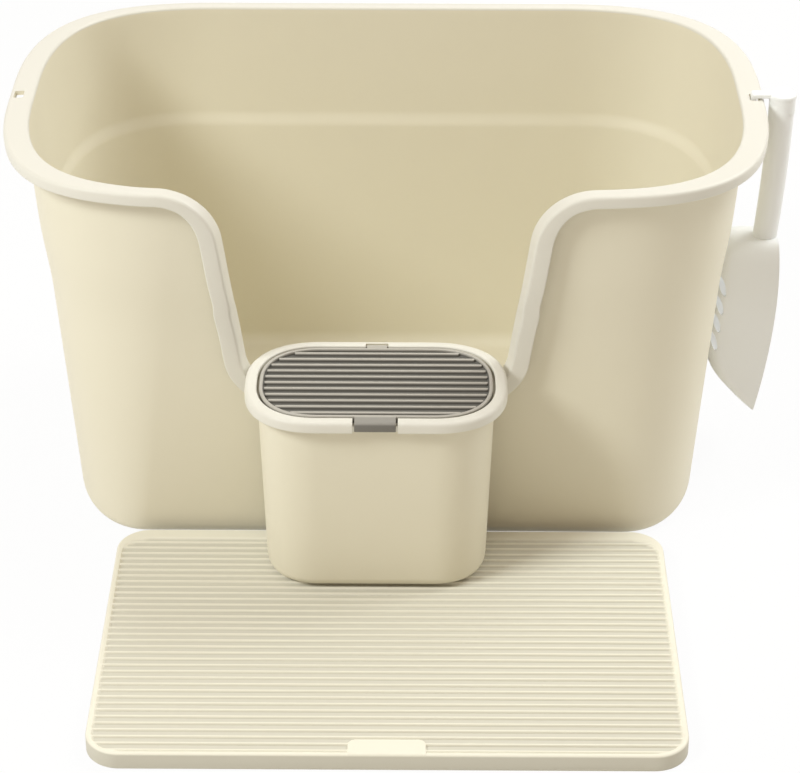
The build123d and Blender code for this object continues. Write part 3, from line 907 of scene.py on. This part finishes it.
def quarter_rise(share):
    """The rise of a quarter circle from 0 to 1."""
    return 1 - math.sqrt(1 - min(max(share, 0), 1) ** 2)


def head_ring(level, inset):
    """The head cut level: a floor beside the tub wall with rounded corners, open the other way."""
    below = max(head_bottom + belly_height - level, 0) / belly_height
    slant = 2 * below * (head_depth - scoop_lip) / belly_height
    beside = beside_wall(level)
    tip = base_half_width + head_depth - scoop_lip
    floor = beside + below**2 * (tip - beside) + inset * math.hypot(1, slant)
    floor += top_bend * quarter_rise((level - head_top) / top_bend + 1)
    peak = head_bottom + head_length * peak_share
    away = (level - peak) / (peak - head_bottom)
    edge = base_half_width + head_depth + edge_bulge * (1 - away**2) + 2 * inset
    taper = quarter_rise((level - head_top + taper_length) / taper_length)
    half = head_half - taper_inset * taper - inset
    bend = min(floor_bend - inset, 0.45 * (edge - floor), half - 0.5)
    sweep = quarter(9)
    corner = [
        (floor + bend - bend * math.sin(t), half - bend + bend * math.cos(t)) for t in sweep
    ]
    side = [(a, half) for a in np.linspace(edge, floor + bend, 6)[:-1]]
    across_floor = [(floor, b) for b in np.linspace(half - bend, bend - half, 9)[1:-1]]
    left = side + corner
    right = [(a, -b) for a, b in reversed(left)]
    mouth = [(edge, b) for b in np.linspace(-half, half, 8)[1:-1]]
    return [(a, b + scoop_y, level) for a, b in left + across_floor + right + mouth]


def head_block(name, inset, levels=40):
    heights = head_bottom + (head_length - inset) * np.sin(quarter(levels))
    return stack(name, [head_ring(level, inset) for level in heights])


scoop = combine(head_block("hanging_scoop", 0.0), head_block("bowl", head_wall), "DIFFERENCE")


# %% Sieve slots of the scoop
def leaf(middle_x, middle_z, length=17.0, width=4.6, slant=0.27, count=20):
    """Outline of a slot: a slanted leaf, seen from the front."""
    turns = run(0, 2 * math.pi, count)
    along, over = length / 2 * np.cos(turns), width / 2 * np.sin(turns)
    return list(zip(middle_x + over + slant * along, middle_z - along + slant * over))


sieve = []
for number in range(slot_count):
    level = head_bottom + belly_height + number * slot_pitch
    slot_line = leaf(beside_wall(level) + slot_inset, level)
    sieve.append(prism("sieve_slot", slot_line, scoop_y - 50, scoop_y + 50, "y"))
combine(scoop, gather("sieve", sieve), "DIFFERENCE")
print("scoop's head:", len(scoop.data.polygons), "faces")

# %% [markdown]
# The handle is a slightly bent round bar with a channel up its back, which keeps its walls thin
# enough to mould. A plug closes its top: a flat cap and a collar whose lower edge runs down
# slanting across the front. The tongue and its hook are one bent strip.

# %% Handle and plug
cap_top, cap_rounding, cap_radius = tub_height + 3.4, 1.6, 11.6
handle_foot, handle_radius, radius_more, handle_bend = 201.0, 10.2, 0.4, 5.8
collar_rise, cap_rise, collar_slant = 0.55, 0.45, 11.5
handle_heights = np.concatenate([
    np.linspace(handle_foot, 308, 26),
    np.arange(309, tub_height - 0.4, 0.75),
    [tub_height - 0.2, tub_height + 0.1, tub_height + 0.6, cap_top - cap_rounding],
])


def handle_ring(level, count=48):
    """One level of the handle; the collar's slanting edge stands a little proud of it."""
    share = (level - handle_foot) / (tub_height - handle_foot)
    middle = scoop_line - handle_bend * (1 - min(share, 1)) ** 2.0
    radius = handle_radius + radius_more * min(share, 1)
    turns = run(0, 2 * math.pi, count)
    collar_edge = tub_height - 3 - collar_slant * ease((np.cos(turns) + 0.85) / 1.8)
    collar = collar_rise * ease((level - collar_edge) / 0.9)
    cap = cap_rise * ease((level - tub_height + 0.1) / 0.3)
    reach = radius + collar + cap
    around_x, around_y = middle + reach * np.cos(turns), scoop_y + reach * np.sin(turns)
    return np.stack([around_x, around_y, np.full(count, level)], axis=-1)


handle_rows = [handle_ring(level) for level in handle_heights]
cap_middle = np.array([scoop_line, scoop_y, cap_top - cap_rounding])
cap_edge = handle_rows[-1]
for turn in quarter(6)[1:]:
    shrink = 1 - cap_rounding * (1 - math.cos(turn)) / cap_radius
    rise = np.array([0, 0, cap_rounding * math.sin(turn)])
    handle_rows.append(cap_middle + (cap_edge - cap_middle) * shrink + rise)
handle = stack("handle", handle_rows)
channel_line = rectangle(scoop_line - 9, scoop_line + 3, scoop_y + 4.6, scoop_y + 16, 2.0)
channel_end = 10.6
channel_span = (handle_foot + channel_end, tub_height - channel_end)
channel = prism("channel", channel_line, *channel_span, "z")
combine(handle, channel, "DIFFERENCE")
combine(scoop, handle, "UNION")

# %% Tongue and hook
hook_start, hook_bottom = slot_middle - slot_half_width + 1.0, tub_height - 11.7
tongue_low, tongue_top = tub_height + 0.3, tub_height + 3.3
hook_thickness, tongue_half_width = 4, 5
hook_line = softened(
    (
        (scoop_line, tongue_low),
        (scoop_line, tongue_top),
        (hook_start, tongue_top),
        (hook_start, hook_bottom),
        (hook_start + hook_thickness, hook_bottom),
        (hook_start + hook_thickness, tongue_low),
        (scoop_line, tongue_low),
    ),
    (0.2, 2.4, 1.2, 1.2, 0.9),
)[:-1]
tongue_sides = (scoop_y - tongue_half_width, scoop_y + tongue_half_width)
tongue = soften(prism("tongue", hook_line, *tongue_sides, "y"), 0.7, angle=60)
combine(scoop, tongue, "UNION")
print("finished scoop:", len(scoop.data.polygons), "faces")

# %% [markdown]
# ## Plastic finishes
# All five pieces are satin plastic. Such a surface isn't one flat colour: the pigment varies a
# little over a hand's width and the mould leaves a fine grain. Some faces also carry painted shade
# or painted sheen, as the colours below say. The colour, the roughness and a fine bump follow
# noise in the piece's own space, so the finish stays on the piece when it moves. Writing the sums
# as Python makes them readable; each operator adds the Math node that it stands for.


# %% Arithmetic on sockets
class Reading:
    """A socket that can be used in sums."""

    def __init__(self, finish, socket):
        self.finish = finish
        self.socket = socket

    def reckon(self, operation, first, second):
        settings = {"operation": operation}
        return self.finish.node("ShaderNodeMath", settings, {0: first, 1: second})

    def __add__(self, other):
        return self.reckon("ADD", self, other)

    def __mul__(self, other):
        return self.reckon("MULTIPLY", self, other)

    def __sub__(self, other):
        return self.reckon("SUBTRACT", self, other)

    __radd__ = __add__


class Finish:
    """The nodes that make a material or a world."""

    def __init__(self, owner):
        owner.use_nodes = True
        self.tree = owner.node_tree
        self.tree.nodes.clear()

    def node(self, kind, settings, sockets, output=0):
        """Adds a node: its settings first, then a value or a link for each socket."""
        made = self.tree.nodes.new(kind)
        for name, value in settings.items():
            setattr(made, name, value)
        for name, value in sockets.items():
            if isinstance(value, Reading):
                self.tree.links.new(value.socket, made.inputs[name])
            else:
                made.inputs[name].default_value = value
        return Reading(self, made.outputs[output]) if made.outputs else None

    def mixed(self, share, first, second):
        """A colour between two others."""
        sockets = {0: share, 6: first, 7: second}
        return self.node("ShaderNodeMix", {"data_type": "RGBA"}, sockets, 2)

    def seen_plainly(self):
        """1 where the camera or a reflection looks at this, else 0."""
        camera_ray = self.node("ShaderNodeLightPath", {}, {}, "Is Camera Ray")
        return camera_ray + self.node("ShaderNodeLightPath", {}, {}, "Is Glossy Ray")


# %% Satin plastic
def tinted(colour, part=1.0):
    """A colour as a socket wants it, or a darker part of it."""
    return (*(channel * part for channel in colour), 1)


def satin_plastic(name, colour, deep_colour, roughness, dust_and_shade=None, front_shade=None):
    """Moulded plastic, with a darkening that fades out upwards and one that fades out backwards.

    The upward darkening is painted shade below raised parts, and on the mat partly dust too; the
    backward one is painted shade. Each gives the two places between which it fades out, in metres,
    its share at the first place and how much of the deep colour is left there.
    """
    material = bpy.data.materials.new(name)
    finish = Finish(material)
    place = finish.node("ShaderNodeTexCoord", {}, {}, "Object")

    def noise(scale, detail):
        wanted = {"Vector": place, "Scale": scale, "Detail": detail, "Roughness": 0.55}
        return finish.node("ShaderNodeTexNoise", {}, wanted, "Fac")

    def fading(axis, start, end, share):
        """A share that fades out smoothly between two places along an axis."""
        along = finish.node("ShaderNodeSeparateXYZ", {}, {"Vector": place}, axis)
        sockets = {"Value": along, "From Min": start, "From Max": end, "To Min": share}
        sockets["To Max"] = 0.0
        return finish.node("ShaderNodeMapRange", {"interpolation_type": "SMOOTHSTEP"}, sockets)

    cloud = noise(7.0, 3.0)
    speckle = noise(900.0, 2.0)
    grain = noise(2200.0, 2.0)
    deep_share = cloud * 0.5 + speckle * 0.18 - 0.14
    hue = finish.mixed(deep_share, tinted(colour), tinted(deep_colour))
    rough = roughness + (cloud - 0.5) * 0.10 + (speckle - 0.5) * 0.06
    # Faces low between ribs get darker: painted shade, and on the mat also dust.
    if dust_and_shade:
        *fade, part = dust_and_shade
        dust_and_shade_share = fading("Z", *fade)
        hue = finish.mixed(dust_and_shade_share, hue, tinted(deep_colour, part))
        rough = rough + dust_and_shade_share * 0.08
    # The front of the lid is darkened with painted shade.
    if front_shade:
        *fade, part = front_shade
        hue = finish.mixed(fading("Y", *fade), hue, tinted(deep_colour, part))
    relief = grain * 0.4 + noise(30.0, 2.0) * 1.6
    bump_sockets = {"Strength": 0.35, "Distance": 0.00012, "Height": relief}
    bump = finish.node("ShaderNodeBump", {}, bump_sockets)
    wanted = {"Base Color": hue, "Roughness": rough, "IOR": 1.46, "Normal": bump}
    surface = finish.node("ShaderNodeBsdfPrincipled", {}, wanted)
    finish.node("ShaderNodeOutputMaterial", {}, {"Surface": surface})
    print("finish:", name)
    return material


# %% [markdown]
# The tub and the bin are a warm cream and the mat is a little paler. The edges of both flanges
# have a paler, more neutral copy of the cream: painted sheen where the light catches them. The lid
# is a warm grey and the scoop a cool white. The mat's field lies lower than its ribs and is darker,
# partly dust and partly painted shade that makes the rib crests read as highlights. The lid's plate
# is darkened with painted shade so that its ring and ribs look lit, and the front of the lid, with
# its tab, is darkened with painted shade.

# %% Colours of the five pieces
cream, deep_cream = (0.800, 0.762, 0.630), (0.775, 0.732, 0.590)
# The paler cream of the flange edges is painted sheen where the light catches them.
sheen_cream, deep_sheen_cream = (0.765, 0.750, 0.690), (0.745, 0.728, 0.662)
mat_cream, deep_mat = (0.860, 0.838, 0.735), (0.840, 0.812, 0.700)
grey, deep_grey = (0.470, 0.450, 0.410), (0.430, 0.410, 0.370)
cool_white, deep_white = (0.905, 0.925, 0.940), (0.880, 0.900, 0.915)
# The mat's field darkening is partly dust and partly painted shade that makes its rib crests read
# as highlights.
mat_dust_and_painted_shade, lid_plate_shade = (0.0118, 0.0132, 0.86, 0.70), (0.1756, 0.1772, 1.0, 0.34)
# The front of the lid, with its tab, is darkened with painted shade.
tab_shade = ((bin_front + 9.0) * MM, (bin_front + 11.0) * MM, 0.6, 0.45)
rim_sheen_satin = satin_plastic("rim_sheen_satin", sheen_cream, deep_sheen_cream, 0.46)
cream_satin = satin_plastic("cream_satin", cream, deep_cream, 0.50)
mat_satin = satin_plastic("mat_satin", mat_cream, deep_mat, 0.52, mat_dust_and_painted_shade)
bin_satin = satin_plastic("bin_satin", cream, deep_cream, 0.48)
# The lid's plate darkening is painted shade that makes its ring and ribs look lit.
grey_satin = satin_plastic("grey_satin", grey, deep_grey, 0.45, lid_plate_shade, tab_shade)
white_satin = satin_plastic("white_satin", cool_white, deep_white, 0.46)

# %% Dress each piece and set it on its body
dressed = (
    (tub, "litter_tub", "tub", "cream_plastic", cream_satin),
    (mat, "entry_mat", "mat", "mat_plastic", mat_satin),
    (bin_piece, "step_bin", "bin", "bin_plastic", bin_satin),
    (lid, "bin_lid", "lid", "grey_plastic", grey_satin),
    (scoop, "litter_scoop", "scoop", "white_plastic", white_satin),
)
for piece, node, body, slot, material in dressed:
    finish_numbers = np.zeros(len(piece.data.polygons), dtype=np.int32)
    piece.data.polygons.foreach_get("material_index", finish_numbers)
    piece.data.materials.clear()
    piece.data.materials.append(material)
    # Flange edges take the rim finish, a paler copy of the cream that paints sheen.
    if finish_numbers.any():
        piece.data.materials.append(rim_sheen_satin)
        piece.data.polygons.foreach_set("material_index", finish_numbers)
    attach(piece, body)
    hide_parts(node)
    sheen_faces = int(finish_numbers.sum())
    print(piece.name, "rides on", body, "with", sheen_faces, "faces in the rim's finish")

# %% [markdown]
# ## Floor, light and camera
# The object stands on a white floor. The camera sees most of it as plain white, as in a
# catalogue picture, and a small share of it as a surface that takes the object's shadow. A soft
# key lamp at the upper left gives the shading, a wide one behind on the right keeps that side
# open, a weak one hangs overhead, and a dim warm sky fills the rest.

# %% White floor and surroundings
pure_white, floor_white, warm_sky = (1, 1, 1, 1), (0.86, 0.86, 0.85, 1), (0.42, 0.350, 0.265, 1)
plain_share, half_floor, floor_level = 0.94, 9000.0, -0.05
floor_material = bpy.data.materials.new("white_floor")
ground = Finish(floor_material)
shaded = ground.node("ShaderNodeBsdfDiffuse", {}, {"Color": floor_white})
glowing = ground.node("ShaderNodeEmission", {}, {"Color": pure_white, "Strength": 1.0})
floor_sockets = {0: ground.seen_plainly() * plain_share, 1: shaded, 2: glowing}
floor_look = ground.node("ShaderNodeMixShader", {}, floor_sockets)
ground.node("ShaderNodeOutputMaterial", {}, {"Surface": floor_look})
floor_corners = rectangle(-half_floor, half_floor, -half_floor, half_floor)
floor = skin("floor", [(a, b, floor_level) for a, b in floor_corners], [(0, 1, 2, 3)])
floor.data.materials.append(floor_material)

world = bpy.data.worlds.new("studio")
bpy.context.scene.world = world
studio = Finish(world)
sky_colour = studio.mixed(studio.seen_plainly(), warm_sky, pure_white)
sky = studio.node("ShaderNodeBackground", {}, {"Color": sky_colour, "Strength": 1.0})
studio.node("ShaderNodeOutputWorld", {}, {"Surface": sky})


# %% Lamps
def lamp(name, place, aim, size, power, colour=(1, 1, 1)):
    """A square soft lamp at a place, turned to an aim, in metres."""
    light = bpy.data.lights.new(name, "AREA")
    light.shape = "SQUARE"
    light.size = size
    light.energy = power
    light.color = colour
    fixture = place_in_scene(name, light)
    fixture.location = place
    fixture.rotation_euler = (Vector(aim) - Vector(place)).to_track_quat("-Z", "Y").to_euler()


lamp("key", (-2.0, -1.4, 2.2), (0, -0.1, 0.15), 0.9, 55.0, (0.965, 1.0, 0.985))
lamp("top", (0.1, 0.1, 2.6), (0, 0, 0), 1.8, 7.0)
lamp("right", (1.7, 0.7, 2.0), (0, 0, 0.15), 1.5, 41.0, (0.96, 1.0, 1.0))

# %% Camera at the photograph's angle
focal_pixels, photo_width, sensor_width = 2660.6, 800, 36.0
eye_place, look_along, roll_angle = (0.0231, -2.0012, 1.2517), (-0.00503, 0.85715, -0.51504), -0.092
camera = bpy.data.cameras.new("camera")
camera.sensor_width = sensor_width
camera.lens = focal_pixels / photo_width * sensor_width
eye = place_in_scene("camera", camera)
ahead = Vector(look_along)
roll = Matrix.Rotation(math.radians(roll_angle), 4, ahead)
turned = roll @ ahead.to_track_quat("-Z", "Y").to_matrix().to_4x4()
eye.matrix_world = Matrix.Translation(eye_place) @ turned
bpy.context.scene.camera = eye
bpy.context.scene.view_settings.view_transform = "Standard"
